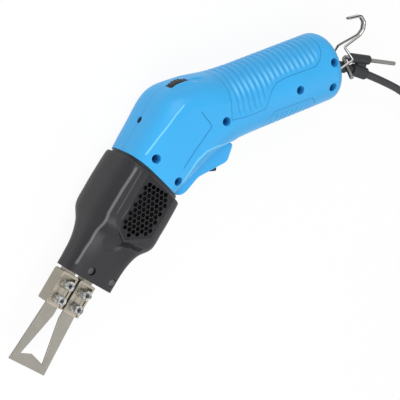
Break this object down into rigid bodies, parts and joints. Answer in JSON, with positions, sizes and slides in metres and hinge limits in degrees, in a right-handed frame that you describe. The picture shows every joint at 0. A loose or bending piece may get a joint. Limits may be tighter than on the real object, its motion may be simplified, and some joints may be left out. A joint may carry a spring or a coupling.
{
  "type": "electric hot knife",
  "caption": "Corded electric hot knife: bent body with round handle, vented nose, flat A-shaped blade clamped in electrodes, trigger, thumb wheel, hanging hook, and coiled cord with plug.",
  "frame": {"origin": "on the table, at the flat of the right body half that the tool lies on, under the elbow where the handle's axis and the head's axis meet", "axes": "X runs rearward along the handle, Y is the tool's top side, Z is the tool's left side and points up from the table"},
  "size_m": [0.5158, 0.1942, 0.052],
  "materials": {
    "blue_plastic": "sky blue moulded plastic",
    "black_plastic": "black moulded plastic",
    "plated_brass": "plated brass",
    "bright_steel": "bright plated steel",
    "blade_steel": "plain rolled alloy",
    "dark_steel": "blackened steel",
    "insulator": "brown resin board",
    "copper": "bare and enamelled copper",
    "board_green": "glass fibre board",
    "aluminium": "extruded aluminium",
    "red_lens": "red moulded plastic",
    "black_rubber": "black rubber and PVC"
  },
  "bodies": {
    "body": {"left_housing": "blue_plastic", "right_housing": "blue_plastic", "nose_left": "black_plastic", "nose_right": "black_plastic", "vent_grille_left": "black_plastic", "vent_grille_right": "black_plastic", "upper_electrode": "plated_brass", "lower_electrode": "plated_brass", "clamp_plates": "plated_brass", "clamp_screws": "bright_steel", "blade": "blade_steel", "electrode_insulator": "insulator", "nose_screws": "bright_steel", "housing_screws": "dark_steel", "transformer_core": "dark_steel", "transformer_winding": "copper", "upper_busbar": "copper", "lower_busbar": "copper", "fan_motor": "dark_steel", "fan_frame": "black_plastic", "control_board": "board_green", "heat_sink": "aluminium", "capacitor": "dark_steel", "potentiometer": "board_green", "indicator_led": "red_lens", "switch_body": "black_plastic", "trigger_pin": "bright_steel", "cord_end": "black_rubber", "cord_clamp": "black_plastic", "cord_clamp_screws": "bright_steel", "strain_relief": "black_rubber", "key_clip": "black_rubber", "supply_cord": "black_rubber", "cord_coil": "black_rubber", "cord_tie": "black_rubber", "plug_body": "black_rubber", "plug_pins": "bright_steel"},
    "trigger": {"trigger": "black_plastic"},
    "plunger": {"switch_plunger": "red_lens"},
    "thumb_wheel": {"power_dial": "black_plastic"},
    "fan": {"fan_rotor": "black_plastic"},
    "hook": {"hanging_hook": "bright_steel"},
    "key": {"hex_key": "dark_steel"}
  },
  "joints": [
    {"name": "trigger_swing", "type": "hinge", "parent": "body", "child": "trigger", "pos_m": [0.01466, -0.0315, 0.026], "axis": [0, 0, 1], "range_deg": [0, 9], "stiffness_Nm_per_rad": 0.3, "springref_deg": -8.59},
    {"name": "plunger_slide", "type": "slide", "parent": "body", "child": "plunger", "axis": [0, 1, 0], "range_m": [0, 0.0023]},
    {"name": "wheel_turn", "type": "hinge", "parent": "body", "child": "thumb_wheel", "pos_m": [0.01558, 0.01799, 0.026], "axis": [0, 0, 1], "range_deg": [-135, 135]},
    {"name": "fan_spin", "type": "hinge", "parent": "body", "child": "fan", "pos_m": [0.05, 0, 0.026], "axis": [1, 0, 0], "continuous": true},
    {"name": "hook_swing", "type": "hinge", "parent": "body", "child": "hook", "pos_m": [0.1475, -0.004, 0.026], "axis": [0, 0, 1], "range_deg": [0, 50]},
    {"name": "key_slide", "type": "slide", "parent": "body", "child": "key", "axis": [0.9117, -0.4109, 0], "range_m": [-0.0005, 0.0025]}
  ],
  "couplings": [
    {"joint": "plunger_slide", "follows": "trigger_swing", "m_per_rad": 0.014122}
  ]
}
